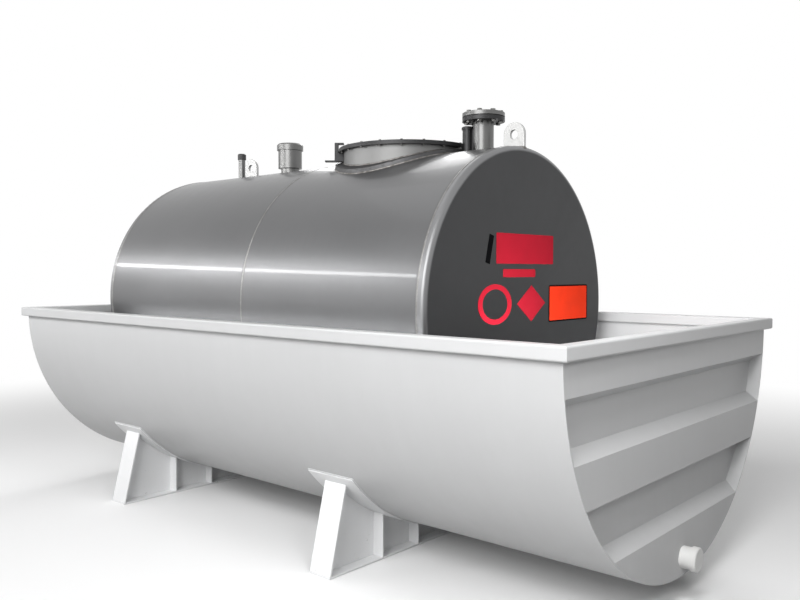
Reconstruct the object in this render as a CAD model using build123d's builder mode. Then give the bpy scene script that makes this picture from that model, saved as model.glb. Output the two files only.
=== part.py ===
# Horizontal stainless steel storage tank for about six cubic metres, standing in an open
# half-round steel containment trough on two cradles. Millimetres, +Z up, ground at z = 0,
# the tank lies along X with its front end, over the trough's drain, at +X.

import os
from math import asin, cos, degrees, radians, sin, sqrt

from build123d import *

os.makedirs("parts", exist_ok=True)

# Containment trough
trough_length = 4350.0  # over the rim
trough_width = 2320.0  # over the rim
ground_clearance = 120.0  # under the lowest line of the shell
trough_wall = 5.0
rim_overhang = 35.0  # of the rim beyond the shell and the end sheets
rim_width = 70.0
rim_height = 60.0
rim_wall = 4.0
rim_corner = 9.0  # outer radius of the box section
rim_above_axis = 35.0  # of the rim's top above the centre line of the shell

# Corrugated end sheets of the trough, levels measured down from the rim's top
end_wall = 5.0
corrugation_depth = 70.0
corrugation_pitch = 450.0
corrugation_count = 2
first_recess = 200.0
recess_opening = 260.0
recess_slope = 45.0

# Drain of the trough, in the front end sheet
drain_height = 210.0
drain_bore = 80.0
drain_socket_diameter = 104.0
drain_socket_length = 46.0
drain_cap_diameter = 116.0
drain_cap_length = 32.0
drain_cap_edge = 6.0  # chamfer, as on every cap below

# Tank
tank_diameter = 1700.0
tank_length = 2790.0
tank_wall = 5.0
tank_middle = -132.0  # from the middle of the trough, along X
tank_axis_above_rim = 75.0
head_flange = 20.0  # straight part of each end
head_knuckle = 25.0
head_inner_edge = 12.0  # chamfer inside the knuckle

# Cradles under the trough
cradle_front_middle = 649.0  # from the middle of the trough
cradle_back_middle = -1297.0
cradle_width = 150.0
cradle_foot_spread = 1854.0  # over the side plates at the ground
cradle_contact_angle = 46.0  # from straight down, where a side plate meets the shell
cradle_pad_angle = 49.0
cradle_pad_width = 320.0
cradle_pad_wall = 8.0
cradle_base_wall = 10.0
cradle_plate_wall = 10.0
stiffener_places = (235.0, 530.0)

# Saddles between the trough and the tank
saddle_width = 150.0
saddle_half_span = 560.0
saddle_pad_width = 220.0
saddle_pad_margin = 4.0  # degrees past the web
saddle_pad_wall = 6.0
saddle_plate_wall = 10.0
saddle_rib_places = (200.0,)

# Manhole on the crown of the tank, places measured from the middle of the trough
manhole_place = 430.0
manhole_neck_diameter = 760.0
manhole_neck_wall = 6.0
manhole_pad_diameter = 860.0
manhole_pad_wall = 22.0
manhole_pad_gap = 3.0  # round the dip pipe beside it
manhole_flange_diameter = 820.0
manhole_flange_wall = 10.0
manhole_cover_wall = 12.0
manhole_cover_edge = 2.0
manhole_height = 60.0  # of the cover's top above the crown
bracket_turn = 221.0  # degrees round the manhole from the front
bracket_width = 50.0
bracket_gap = 2.0  # clear of the flange's edge
bracket_strap = 22.0
bracket_rise = 40.0  # above the cover
bracket_ear = 8.0
bracket_tab_reach = 112.0  # from the neck
bracket_tab_wall = 7.0
bracket_tab_height = 3.0  # above the top of the pad

# Pipes and stubs on the crown
fill_place = 985.0
fill_diameter = 114.0
fill_wall = 4.0
fill_height = 161.0  # of the flange's underside above the crown
flange_diameter = 235.0
flange_wall = 22.0
raised_face_diameter = 158.0
raised_face = 2.0
flange_edge = 1.5
flange_bolt_circle = 190.0
flange_bolt_count = 8
flange_hole = 18.0
bolt_diameter = 16.0
bolt_head = 10.0
bolt_head_size = 24.0  # across the flats

dip_place = 878.0
dip_diameter = 60.0
dip_wall = 3.0
dip_height = 130.0
dip_cap_diameter = 70.0
dip_cap_height = 16.0
dip_cap_edge = 4.0

vent_place = -630.0
vent_diameter = 160.0
vent_wall = 3.0
vent_height = 156.0
vent_neck_diameter = 122.0
vent_neck_wall = 4.0
vent_neck_height = 34.0
vent_floor = 4.0
vent_cap_diameter = 178.0
vent_cap_height = 45.0
vent_cap_edge = 10.0
vent_crown_diameter = 74.0
vent_crown_height = 6.0

gauge_place = -1160.0
gauge_diameter = 48.0
gauge_wall = 4.0
gauge_height = 141.0
gauge_cap_diameter = 60.0
gauge_cap_height = 42.0
gauge_cap_edge = 6.0

# Lifting lugs
lug_front_place = 1190.0
lug_back_place = -1046.0
lug_width = 130.0
lug_wall = 20.0
lug_hole = 50.0
lug_hole_height = 70.0  # above the crown

# Worked out from the sizes above
shell_radius = trough_width / 2 - rim_overhang
shell_inner = shell_radius - trough_wall
shell_axis = ground_clearance + shell_radius
rim_top = shell_axis + rim_above_axis
rim_bottom = rim_top - rim_height
shell_end = trough_length / 2 - rim_overhang
drain_reach = drain_socket_length + drain_cap_length
middle = -(drain_reach - rim_overhang) / 2  # the trough's middle, so that x = 0 halves the whole

tank_radius = tank_diameter / 2
tank_axis = rim_top + tank_axis_above_rim
crown = tank_axis + tank_radius
tank_front = middle + tank_middle + tank_length / 2
tank_back = middle + tank_middle - tank_length / 2
head_length = head_flange + head_knuckle


def save(piece, label):
    """Names a finished piece and writes it."""
    piece.part.label = label
    export_step(piece.part, f"parts/{label}.step")


def pipe_through(x, radius):
    """Cuts a round opening through the crown of the part being built."""
    with BuildSketch(Plane.XY.offset(tank_axis)) as opening:
        with Locations((x, 0)):
            Circle(radius)
    extrude(opening.sketch, amount=tank_diameter, mode=Mode.SUBTRACT)


def cut_tank(radius=tank_radius):
    """Trims the part being built to the round of the tank."""
    with BuildSketch(Plane.YZ.offset(middle)) as round_section:
        with Locations((0, tank_axis)):
            Circle(radius)
    extrude(round_section.sketch, amount=trough_length, both=True, mode=Mode.SUBTRACT)


def cut_trough(radius=shell_radius):
    """Trims the part being built to the round of the trough."""
    with BuildSketch(Plane.YZ.offset(middle)) as round_section:
        with Locations((0, shell_axis)):
            Circle(radius)
    extrude(round_section.sketch, amount=trough_length, both=True, mode=Mode.SUBTRACT)


def arc_band(centre, inner, outer, half_angle):
    """Draws a band of a ring about straight down, as a sketch in the YZ plane."""
    with BuildSketch(mode=Mode.PRIVATE) as band:
        with BuildLine():
            turn = radians(half_angle)
            low_left = (-outer * sin(turn), centre - outer * cos(turn))
            low_right = (outer * sin(turn), centre - outer * cos(turn))
            high_left = (-inner * sin(turn), centre - inner * cos(turn))
            high_right = (inner * sin(turn), centre - inner * cos(turn))
            ThreePointArc(low_left, (0, centre - outer), low_right)
            Line(low_right, high_right)
            ThreePointArc(high_right, (0, centre - inner), high_left)
            Line(high_left, low_left)
        make_face()
    return band.sketch


# Tank shell, with the openings of its fittings
openings = (
    (manhole_place, manhole_neck_diameter / 2 - manhole_neck_wall),
    (fill_place, fill_diameter / 2 - fill_wall),
    (dip_place, dip_diameter / 2 - dip_wall),
    (vent_place, vent_neck_diameter / 2 - vent_neck_wall),
    (gauge_place, gauge_diameter / 2 - gauge_wall),
)

with BuildPart() as tank_shell:
    with BuildSketch(Plane.YZ.offset(tank_back + head_length)):
        with Locations((0, tank_axis)):
            Circle(tank_radius)
            Circle(tank_radius - tank_wall, mode=Mode.SUBTRACT)
    extrude(amount=tank_length - 2 * head_length)
    for place, radius in openings:
        pipe_through(middle + place, radius)
save(tank_shell, "tank_shell")


def tank_end(label, face, outward):
    """A flat end with a rolled knuckle, whose flat face stands at x = face."""
    plane = Plane(origin=(face - outward * head_length, 0, tank_axis), z_dir=(outward, 0, 0))
    with BuildPart() as head:
        with BuildSketch(plane):
            Circle(tank_radius)
        extrude(amount=head_length)
        flat = head.faces().sort_by(Axis.X)[-1 if outward > 0 else 0]
        fillet(flat.edges(), radius=head_knuckle)
        with BuildPart(plane, mode=Mode.SUBTRACT) as hollow:
            Cylinder(
                tank_radius - tank_wall, head_length - tank_wall,
                align=(Align.CENTER, Align.CENTER, Align.MIN),
            )
            floor = hollow.faces().sort_by(Axis.X)[-1 if outward > 0 else 0]
            chamfer(floor.edges(), length=head_inner_edge)
    save(head, label)


tank_end("tank_end_front", tank_front, 1)
tank_end("tank_end_back", tank_back, -1)

# Manhole: pad on the shell, neck, flange ring and bolted cover
manhole_x = middle + manhole_place
cover_top = crown + manhole_height
cover_bottom = cover_top - manhole_cover_wall
neck_top = cover_bottom - manhole_flange_wall
neck_radius = manhole_neck_diameter / 2

with BuildPart() as manhole_pad:
    with BuildSketch(Plane.YZ.offset(manhole_x)):
        with Locations((0, tank_axis)):
            Circle(tank_radius + manhole_pad_wall)
            Circle(tank_radius, mode=Mode.SUBTRACT)
    extrude(amount=manhole_pad_diameter, both=True)
    with BuildSketch(Plane.XY.offset(tank_axis)):
        with Locations((manhole_x, 0)):
            Circle(manhole_pad_diameter / 2)
            Circle(neck_radius, mode=Mode.SUBTRACT)
    extrude(amount=tank_diameter, mode=Mode.INTERSECT)
    pipe_through(middle + dip_place, dip_diameter / 2 + manhole_pad_gap)
save(manhole_pad, "manhole_pad")

with BuildPart() as manhole_neck:
    with BuildSketch(Plane.XY.offset(tank_axis)):
        with Locations((manhole_x, 0)):
            Circle(neck_radius)
            Circle(neck_radius - manhole_neck_wall, mode=Mode.SUBTRACT)
    extrude(amount=neck_top - tank_axis)
    cut_tank()
save(manhole_neck, "manhole_neck")

with BuildPart() as manhole_flange:
    with BuildSketch(Plane.XY.offset(neck_top)):
        with Locations((manhole_x, 0)):
            Circle(manhole_flange_diameter / 2)
            Circle(neck_radius - manhole_neck_wall, mode=Mode.SUBTRACT)
    extrude(amount=manhole_flange_wall)
save(manhole_flange, "manhole_flange")

with BuildPart() as manhole_cover:
    with BuildSketch(Plane.XY.offset(cover_bottom)):
        with Locations((manhole_x, 0)):
            Circle(manhole_flange_diameter / 2)
    extrude(amount=manhole_cover_wall)
    chamfer(manhole_cover.edges().group_by(Axis.Z)[-1], length=manhole_cover_edge)
save(manhole_cover, "manhole_cover")

# Upright bracket on the side of the manhole's neck, with a tab at its foot
turn = radians(bracket_turn)
beside = Plane(
    origin=(manhole_x, 0, 0),
    x_dir=(cos(turn), sin(turn), 0), z_dir=(sin(turn), -cos(turn), 0),
)
pad_top_radius = tank_radius + manhole_pad_wall
pad_level = tank_axis + sqrt(pad_top_radius ** 2 - (neck_radius * sin(turn)) ** 2)
bracket_base = pad_level + bracket_tab_height
bracket_top = cover_top + bracket_rise
bracket_in = manhole_flange_diameter / 2 + bracket_gap
bracket_out = bracket_in + bracket_strap
with BuildPart() as manhole_bracket:
    with BuildSketch(beside):
        with BuildLine():
            Polyline(
                (0, bracket_base),
                (neck_radius + bracket_tab_reach, bracket_base),
                (neck_radius + bracket_tab_reach, bracket_base + bracket_tab_wall),
                (bracket_out, bracket_base + bracket_tab_wall),
                (bracket_out, bracket_top),
                (neck_radius, bracket_top),
                (neck_radius, bracket_top - bracket_ear),
                (bracket_in, bracket_top - bracket_ear),
                (bracket_in, neck_top),
                (0, neck_top),
                close=True,
            )
        make_face()
    extrude(amount=bracket_width / 2, both=True)
    with BuildSketch(Plane.XY.offset(tank_axis)):
        with Locations((manhole_x, 0)):
            Circle(neck_radius)
    extrude(amount=neck_top - tank_axis, mode=Mode.SUBTRACT)
    cut_tank(pad_top_radius)
save(manhole_bracket, "manhole_bracket")


def stub(label, x, diameter, wall, height):
    """An open pipe standing on the crown."""
    with BuildPart() as pipe:
        with BuildSketch(Plane.XY.offset(tank_axis)):
            with Locations((x, 0)):
                Circle(diameter / 2)
                Circle(diameter / 2 - wall, mode=Mode.SUBTRACT)
        extrude(amount=crown + height - tank_axis)
        cut_tank()
    save(pipe, label)


def stub_cap(label, x, base, diameter, height, edge):
    """A round cap closing a pipe."""
    with BuildPart() as cap:
        with BuildSketch(Plane.XY.offset(base)):
            with Locations((x, 0)):
                Circle(diameter / 2)
        extrude(amount=height)
        chamfer(cap.edges().group_by(Axis.Z)[-1], length=edge)
    save(cap, label)


# Fill pipe with its flange, blind flange and bolts
fill_x = middle + fill_place
flange_base = crown + fill_height
flange_joint = flange_base + flange_wall + raised_face
blind_base = flange_joint + raised_face
blind_top = blind_base + flange_wall


def bolt_ring():
    """Places of the bolts about the centre of the fill flange."""
    return PolarLocations(flange_bolt_circle / 2, flange_bolt_count, start_angle=180 / flange_bolt_count)


stub("fill_pipe", fill_x, fill_diameter, fill_wall, fill_height)

with BuildPart() as fill_flange:
    with BuildSketch(Plane.XY.offset(flange_base)):
        with Locations((fill_x, 0)):
            Circle(flange_diameter / 2)
    extrude(amount=flange_wall)
    with BuildSketch(Plane.XY.offset(flange_base + flange_wall)):
        with Locations((fill_x, 0)):
            Circle(raised_face_diameter / 2)
    extrude(amount=raised_face)
    with BuildSketch(Plane.XY.offset(flange_base)):
        with Locations((fill_x, 0)):
            Circle(fill_diameter / 2 - fill_wall)
            with bolt_ring():
                Circle(flange_hole / 2)
    extrude(amount=flange_joint - flange_base, mode=Mode.SUBTRACT)
save(fill_flange, "fill_flange")

with BuildPart() as fill_blind_flange:
    with BuildSketch(Plane.XY.offset(flange_joint)):
        with Locations((fill_x, 0)):
            Circle(raised_face_diameter / 2)
    extrude(amount=raised_face)
    with BuildSketch(Plane.XY.offset(blind_base)):
        with Locations((fill_x, 0)):
            Circle(flange_diameter / 2)
    extrude(amount=flange_wall)
    chamfer(fill_blind_flange.edges().group_by(Axis.Z)[-1], length=flange_edge)
    with BuildSketch(Plane.XY.offset(blind_base)):
        with Locations((fill_x, 0)):
            with bolt_ring():
                Circle(flange_hole / 2)
    extrude(amount=flange_wall, mode=Mode.SUBTRACT)
save(fill_blind_flange, "fill_blind_flange")

with BuildPart() as fill_flange_bolts:
    with BuildSketch(Plane.XY.offset(flange_base - bolt_head)):
        with Locations((fill_x, 0)):
            with bolt_ring():
                RegularPolygon(bolt_head_size / 2, 6, major_radius=False)
    extrude(amount=bolt_head)
    with BuildSketch(Plane.XY.offset(blind_top)):
        with Locations((fill_x, 0)):
            with bolt_ring():
                RegularPolygon(bolt_head_size / 2, 6, major_radius=False)
    extrude(amount=bolt_head)
    with BuildSketch(Plane.XY.offset(flange_base)):
        with Locations((fill_x, 0)):
            with bolt_ring():
                Circle(bolt_diameter / 2)
    extrude(amount=blind_top - flange_base)
save(fill_flange_bolts, "fill_flange_bolts")

# Dip pipe, capped vent and capped gauge socket
dip_x = middle + dip_place
stub("dip_pipe", dip_x, dip_diameter, dip_wall, dip_height)
stub_cap("dip_cap", dip_x, crown + dip_height, dip_cap_diameter, dip_cap_height, dip_cap_edge)

vent_x = middle + vent_place
vent_base = crown + vent_neck_height
vent_top = crown + vent_height
stub("vent_neck", vent_x, vent_neck_diameter, vent_neck_wall, vent_neck_height)

with BuildPart() as vent_body:
    with BuildSketch(Plane.XY.offset(vent_base)):
        with Locations((vent_x, 0)):
            Circle(vent_diameter / 2)
    extrude(amount=vent_top - vent_base)
    with BuildSketch(Plane.XY.offset(vent_base + vent_floor)):
        with Locations((vent_x, 0)):
            Circle(vent_diameter / 2 - vent_wall)
    extrude(amount=vent_top - vent_base, mode=Mode.SUBTRACT)
    pipe_through(vent_x, vent_neck_diameter / 2 - vent_neck_wall)
save(vent_body, "vent_body")

with BuildPart() as vent_cap:
    with BuildSketch(Plane.XY.offset(vent_top)):
        with Locations((vent_x, 0)):
            Circle(vent_cap_diameter / 2)
    extrude(amount=vent_cap_height)
    chamfer(vent_cap.edges().group_by(Axis.Z)[-1], length=vent_cap_edge)
    with BuildSketch(Plane.XY.offset(vent_top + vent_cap_height)):
        with Locations((vent_x, 0)):
            Circle(vent_crown_diameter / 2)
    extrude(amount=vent_crown_height)
save(vent_cap, "vent_cap")

gauge_x = middle + gauge_place
stub("gauge_socket", gauge_x, gauge_diameter, gauge_wall, gauge_height)
stub_cap(
    "gauge_cap", gauge_x, crown + gauge_height,
    gauge_cap_diameter, gauge_cap_height, gauge_cap_edge,
)


def lifting_lug(label, x):
    """A round-topped plate with an eye, standing along the crown."""
    eye = (x, crown + lug_hole_height)
    with BuildPart() as lug:
        with BuildSketch(Plane.XZ):
            with Locations(eye):
                Circle(lug_width / 2)
            with Locations((x, (tank_axis + eye[1]) / 2)):
                Rectangle(lug_width, eye[1] - tank_axis)
            with Locations(eye):
                Circle(lug_hole / 2, mode=Mode.SUBTRACT)
        extrude(amount=lug_wall / 2, both=True)
        cut_tank()
    save(lug, label)


lifting_lug("lifting_lug_front", middle + lug_front_place)
lifting_lug("lifting_lug_back", middle + lug_back_place)

# Half-round shell of the trough, cut level under the rim
with BuildPart() as trough_shell:
    with BuildSketch(Plane.YZ.offset(middle)):
        with Locations((0, shell_axis)):
            Circle(shell_radius)
            Circle(shell_inner, mode=Mode.SUBTRACT)
        with Locations((0, rim_bottom)):
            Rectangle(
                2 * trough_width, 2 * trough_width,
                align=(Align.CENTER, Align.MIN), mode=Mode.SUBTRACT,
            )
    extrude(amount=shell_end, both=True)
save(trough_shell, "trough_shell")


def fold_line(outward):
    """The outer face of a corrugated end sheet, as (x, z) corners from the rim down."""
    outer = middle + outward * shell_end
    inner = middle + outward * (shell_end - corrugation_depth)
    corners = [(outer, rim_bottom)]
    for n in range(corrugation_count):
        top = rim_top - first_recess - n * corrugation_pitch
        corners += [
            (outer, top),
            (inner, top - recess_slope),
            (inner, top - recess_opening + recess_slope),
            (outer, top - recess_opening),
        ]
    corners.append((outer, ground_clearance - trough_wall))
    return corners


def trough_end(label, outward):
    """A corrugated sheet set flush in the end of the trough's shell."""
    with BuildPart() as sheet:
        with BuildSketch(Plane.XZ):
            with BuildLine() as fold:
                Polyline(*fold_line(outward))
                offset(
                    amount=end_wall, side=Side.RIGHT if outward > 0 else Side.LEFT,
                    kind=Kind.INTERSECTION,
                )
            make_face()
        extrude(amount=trough_width, both=True)
        with BuildSketch(Plane.YZ.offset(middle)):
            with Locations((0, shell_axis)):
                Circle(shell_inner)
            with Locations((0, rim_bottom)):
                Rectangle(
                    2 * trough_width, 2 * trough_width,
                    align=(Align.CENTER, Align.MIN), mode=Mode.SUBTRACT,
                )
        extrude(amount=trough_length, both=True, mode=Mode.INTERSECT)
        if outward > 0:
            with BuildSketch(Plane.YZ.offset(middle)):
                with Locations((0, drain_height)):
                    Circle(drain_bore / 2)
            extrude(amount=trough_length, mode=Mode.SUBTRACT)
    save(sheet, label)


trough_end("trough_end_front", 1)
trough_end("trough_end_back", -1)


def rim_member(label, plane, length, mitre_points):
    """One side of the rim, a box section cut to a mitre at both ends."""
    with BuildPart() as member:
        with BuildSketch(plane):
            RectangleRounded(rim_width, rim_height, rim_corner)
            RectangleRounded(
                rim_width - 2 * rim_wall, rim_height - 2 * rim_wall, rim_corner - rim_wall,
                mode=Mode.SUBTRACT,
            )
        extrude(amount=length / 2, both=True)
        with BuildSketch(Plane.XY.offset(rim_bottom)):
            with BuildLine():
                Polyline(*mitre_points, close=True)
            make_face()
        extrude(amount=rim_height, mode=Mode.INTERSECT)
    save(member, label)


half_length = trough_length / 2
half_width = trough_width / 2
rim_middle = (rim_top + rim_bottom) / 2
for label, side in (("rim_right", -1), ("rim_left", 1)):
    rim_member(
        label,
        Plane(
            origin=(middle, side * (half_width - rim_width / 2), rim_middle),
            x_dir=(0, 1, 0), z_dir=(1, 0, 0),
        ),
        trough_length,
        (
            (middle - half_length, side * half_width),
            (middle + half_length, side * half_width),
            (middle + half_length - rim_width, side * (half_width - rim_width)),
            (middle - half_length + rim_width, side * (half_width - rim_width)),
        ),
    )
for label, side in (("rim_front", 1), ("rim_back", -1)):
    rim_member(
        label,
        Plane(
            origin=(middle + side * (half_length - rim_width / 2), 0, rim_middle),
            x_dir=(1, 0, 0), z_dir=(0, 1, 0),
        ),
        trough_width,
        (
            (middle + side * half_length, -half_width),
            (middle + side * half_length, half_width),
            (middle + side * (half_length - rim_width), half_width - rim_width),
            (middle + side * (half_length - rim_width), -half_width + rim_width),
        ),
    )

# Drain socket and cap on the front end sheet
sheet_face = middle + shell_end
with BuildPart() as drain_nozzle:
    with BuildSketch(Plane.YZ.offset(sheet_face)):
        with Locations((0, drain_height)):
            Circle(drain_socket_diameter / 2)
            Circle(drain_bore / 2, mode=Mode.SUBTRACT)
    extrude(amount=drain_socket_length)
save(drain_nozzle, "drain_nozzle")

with BuildPart() as drain_cap:
    with BuildSketch(Plane.YZ.offset(sheet_face + drain_socket_length)):
        with Locations((0, drain_height)):
            Circle(drain_cap_diameter / 2)
    extrude(amount=drain_cap_length)
    chamfer(drain_cap.edges().group_by(Axis.X)[-1], length=drain_cap_edge)
save(drain_cap, "drain_cap")

# Cradles
pad_radius = shell_radius + cradle_pad_wall
contact_turn = radians(cradle_contact_angle)
contact = (pad_radius * sin(contact_turn), shell_axis - pad_radius * cos(contact_turn))
foot = (cradle_foot_spread / 2, 0.0)
lean = ((contact[0] - foot[0]) / contact[1], 1.0)  # sideways step of a side plate for each step up


def on_plate(z, inward=0.0):
    """Distance from the centre line of a side plate's outer face at height z."""
    slant = sqrt(lean[0] ** 2 + 1)
    return foot[0] + lean[0] * z - inward * slant


def cradle(name, x):
    """Pad, web, base, two leaning side plates and the stiffeners of one cradle."""
    with BuildPart() as pad:
        with BuildSketch(Plane.YZ.offset(x)):
            add(arc_band(shell_axis, shell_radius, pad_radius, cradle_pad_angle))
        extrude(amount=cradle_pad_width / 2, both=True)
    save(pad, f"{name}_pad")

    with BuildPart() as base:
        with BuildSketch(Plane.XY):
            with Locations((x, 0)):
                Rectangle(cradle_width, cradle_foot_spread)
        extrude(amount=cradle_base_wall)
    save(base, f"{name}_base")

    high = shell_axis
    with BuildPart() as web:
        with BuildSketch(Plane.YZ.offset(x)):
            with BuildLine():
                low_side = on_plate(cradle_base_wall, cradle_plate_wall)
                high_side = on_plate(high, cradle_plate_wall)
                Polyline(
                    (-low_side, cradle_base_wall), (low_side, cradle_base_wall),
                    (high_side, high), (-high_side, high), close=True,
                )
            make_face()
        extrude(amount=cradle_plate_wall / 2, both=True)
        cut_trough(pad_radius)
    save(web, f"{name}_web")

    with BuildPart() as plates:
        with BuildSketch(Plane.YZ.offset(x)):
            for side in (-1, 1):
                with BuildLine():
                    Polyline(
                        (side * on_plate(cradle_base_wall), cradle_base_wall),
                        (side * on_plate(high), high),
                        (side * on_plate(high, cradle_plate_wall), high),
                        (side * on_plate(cradle_base_wall, cradle_plate_wall), cradle_base_wall),
                        close=True,
                    )
                make_face()
        extrude(amount=cradle_width / 2, both=True)
        cut_trough(pad_radius)
    save(plates, f"{name}_side_plates")

    rib_middle = (cradle_width + cradle_plate_wall) / 4
    rib_reach = (cradle_width - cradle_plate_wall) / 2
    with BuildPart() as stiffeners:
        with BuildSketch(Plane.XY.offset(cradle_base_wall)):
            for place in stiffener_places:
                with Locations(*[(x + a * rib_middle, b * place) for a in (-1, 1) for b in (-1, 1)]):
                    Rectangle(rib_reach, cradle_plate_wall)
        extrude(amount=shell_axis - cradle_base_wall)
        cut_trough(pad_radius)
    save(stiffeners, f"{name}_stiffeners")


cradle("front_cradle", middle + cradle_front_middle)
cradle("back_cradle", middle + cradle_back_middle)

# Saddles that carry the tank inside the trough
upper_pad_radius = tank_radius + saddle_pad_wall
lower_pad_radius = shell_inner - saddle_pad_wall


def saddle(name, x):
    """Pad under the tank, web, base on the trough and ribs of one saddle."""
    with BuildPart() as pad:
        with BuildSketch(Plane.YZ.offset(x)):
            half_angle = degrees(asin(saddle_half_span / upper_pad_radius)) + saddle_pad_margin
            add(arc_band(tank_axis, tank_radius, upper_pad_radius, half_angle))
        extrude(amount=saddle_pad_width / 2, both=True)
    save(pad, f"{name}_pad")

    with BuildPart() as base:
        with BuildSketch(Plane.YZ.offset(x)):
            half_angle = degrees(asin(saddle_half_span / lower_pad_radius)) + saddle_pad_margin
            add(arc_band(shell_axis, lower_pad_radius, shell_inner, half_angle))
        extrude(amount=saddle_pad_width / 2, both=True)
    save(base, f"{name}_base")

    with BuildPart() as web:
        with BuildSketch(Plane.YZ.offset(x)):
            with Locations((0, shell_axis)):
                Circle(lower_pad_radius)
            with Locations((0, ground_clearance)):
                Rectangle(
                    2 * saddle_half_span, tank_axis - ground_clearance,
                    align=(Align.CENTER, Align.MIN), mode=Mode.INTERSECT,
                )
        extrude(amount=saddle_plate_wall / 2, both=True)
        cut_tank(upper_pad_radius)
    save(web, f"{name}_web")

    rib_middle = (saddle_width + saddle_plate_wall) / 4
    rib_reach = (saddle_width - saddle_plate_wall) / 2
    edge = saddle_half_span - saddle_plate_wall / 2
    with BuildPart() as ribs:
        with BuildSketch(Plane.XY.offset(ground_clearance)):
            for place in (*saddle_rib_places, edge):
                with Locations(*[(x + a * rib_middle, b * place) for a in (-1, 1) for b in (-1, 1)]):
                    Rectangle(rib_reach, saddle_plate_wall)
        extrude(amount=tank_axis - ground_clearance)
        cut_tank(upper_pad_radius)
        with BuildSketch(Plane.YZ.offset(middle)):
            with Locations((0, shell_axis)):
                Circle(lower_pad_radius)
        extrude(amount=trough_length, both=True, mode=Mode.INTERSECT)
    save(ribs, f"{name}_ribs")


saddle("front_saddle", middle + cradle_front_middle)
saddle("back_saddle", middle + cradle_back_middle)
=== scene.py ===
"""Finishes, welds, bolts, panels and a studio for the storage tank in its containment trough."""

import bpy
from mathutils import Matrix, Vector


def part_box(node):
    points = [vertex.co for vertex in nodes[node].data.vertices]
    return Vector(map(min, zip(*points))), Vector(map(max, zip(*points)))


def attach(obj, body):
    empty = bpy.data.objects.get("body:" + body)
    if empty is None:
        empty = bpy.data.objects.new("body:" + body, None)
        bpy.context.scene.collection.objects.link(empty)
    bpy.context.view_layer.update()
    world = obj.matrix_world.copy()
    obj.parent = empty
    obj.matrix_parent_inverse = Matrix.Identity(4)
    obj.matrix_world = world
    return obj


bl_info = {
    "name": "Storage tank in a containment trough",
    "version": (1, 0, 0),
    "blender": (4, 5, 0),
    "location": "3D View > Sidebar > Tank",
    "description": "Dresses the packed tank with finishes, weld beads, bolts and panels",
    "category": "Object",
}

from math import cos, pi, radians

import bpy
from bpy.props import FloatProperty, FloatVectorProperty, IntProperty, PointerProperty
from mathutils import Matrix, Vector

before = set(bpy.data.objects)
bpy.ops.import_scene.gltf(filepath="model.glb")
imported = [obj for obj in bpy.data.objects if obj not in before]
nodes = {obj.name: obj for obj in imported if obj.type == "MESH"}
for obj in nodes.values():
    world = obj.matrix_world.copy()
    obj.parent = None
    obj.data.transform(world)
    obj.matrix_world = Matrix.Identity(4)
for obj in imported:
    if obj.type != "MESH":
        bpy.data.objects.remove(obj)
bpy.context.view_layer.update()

# Places read off the frame, in metres
SHELL_LOW, SHELL_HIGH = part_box("tank_shell")
TANK_RADIUS = (SHELL_HIGH.z - SHELL_LOW.z) / 2
TANK_AXIS = (SHELL_HIGH.z + SHELL_LOW.z) / 2
CROWN = SHELL_HIGH.z
END_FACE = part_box("tank_end_front")[1].x
ABOVE, ABOVE_LUGS = CROWN + 0.5, CROWN + 0.4  # where weld lines start before they drop
BESIDE = 0.001  # from the side of a piece to the middle of the weld along it

# From the rim of a tank end inwards: where the dark satin begins, and where it is full
SATIN_BEGINS, SATIN_FULL = 0.014, 0.029

# How much lighter than the sheet and the paint beside them these are; on the knuckle of a tank
# end it is a painted highlight
KNUCKLE_PAINTED_HIGHLIGHT = 1.60
PLATE_TINT = 1.60

# Colours of stains, of wear and of the small pieces
HEAT_TINT = (0.15, 0.143, 0.13)
DULL_SPOT = (0.16, 0.155, 0.15)
MILL_SCALE = (0.055, 0.052, 0.048)
DRAIN_WHITE, DRAIN_GRIME = (0.70, 0.70, 0.69), (0.60, 0.59, 0.57)
LUG_PALE, LUG_RUBBED = (0.50, 0.50, 0.495), (0.34, 0.34, 0.33)
BOLT_GREY = (0.17, 0.168, 0.162)
WELD_BRIGHT, WELD_STAINED = (0.30, 0.29, 0.28), (0.13, 0.12, 0.11)
SEAM_BRIGHT, SEAM_STAINED = (0.27, 0.268, 0.265), (0.21, 0.205, 0.198)
SUN_GREY = (0.10, 0.10, 0.10)
DUST = (0.44, 0.42, 0.39)
PRIMER = (0.30, 0.29, 0.28)

# Rectangles on the front end: name, finish, reach in Y, reach in Z, corner radius, lean
SHEETS = (
    ("red_panel", "red_film", (-0.272, 0.284), (1.582, 1.740), 0.006, 0.0),
    ("black_strip", "black_film", (-0.350, -0.312), (1.581, 1.729), 0.0, radians(14)),
    ("red_strip", "red_film", (-0.210, 0.100), (1.512, 1.554), 0.006, 0.0),
    ("orange_plate", "orange_film", (0.243, 0.680), (1.260, 1.466), 0.013, 0.0),
)
PLATE_BORDER = 0.008
SUNK = 0.0001  # how deep a rectangle sits in the tank's end

# The ring and the diamond on the front end: place in Y and Z, radius, and widening in Y
RING_PLACE, RING_RADIUS, RING_BAND = (-0.280, 1.374), 0.103, 0.026
DIAMOND_PLACE, DIAMOND_RADIUS = (0.062, 1.370), 0.097
WIDENED = 1.45

# Parts of a bolt as shares of its size across the flats, and the length of its bare end
WASHER_SHARE, SHANK_SHARE, SHANK_END = 0.62, 0.27, 0.004

# The floor: its side, what it gives back to the part, and where it starts and ends its fade
FLOOR_SIZE = 160.0
FLOOR_GREY = (0.42, 0.42, 0.42)
FADE_FROM, FADE_TO = 3.0, 8.0

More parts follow.
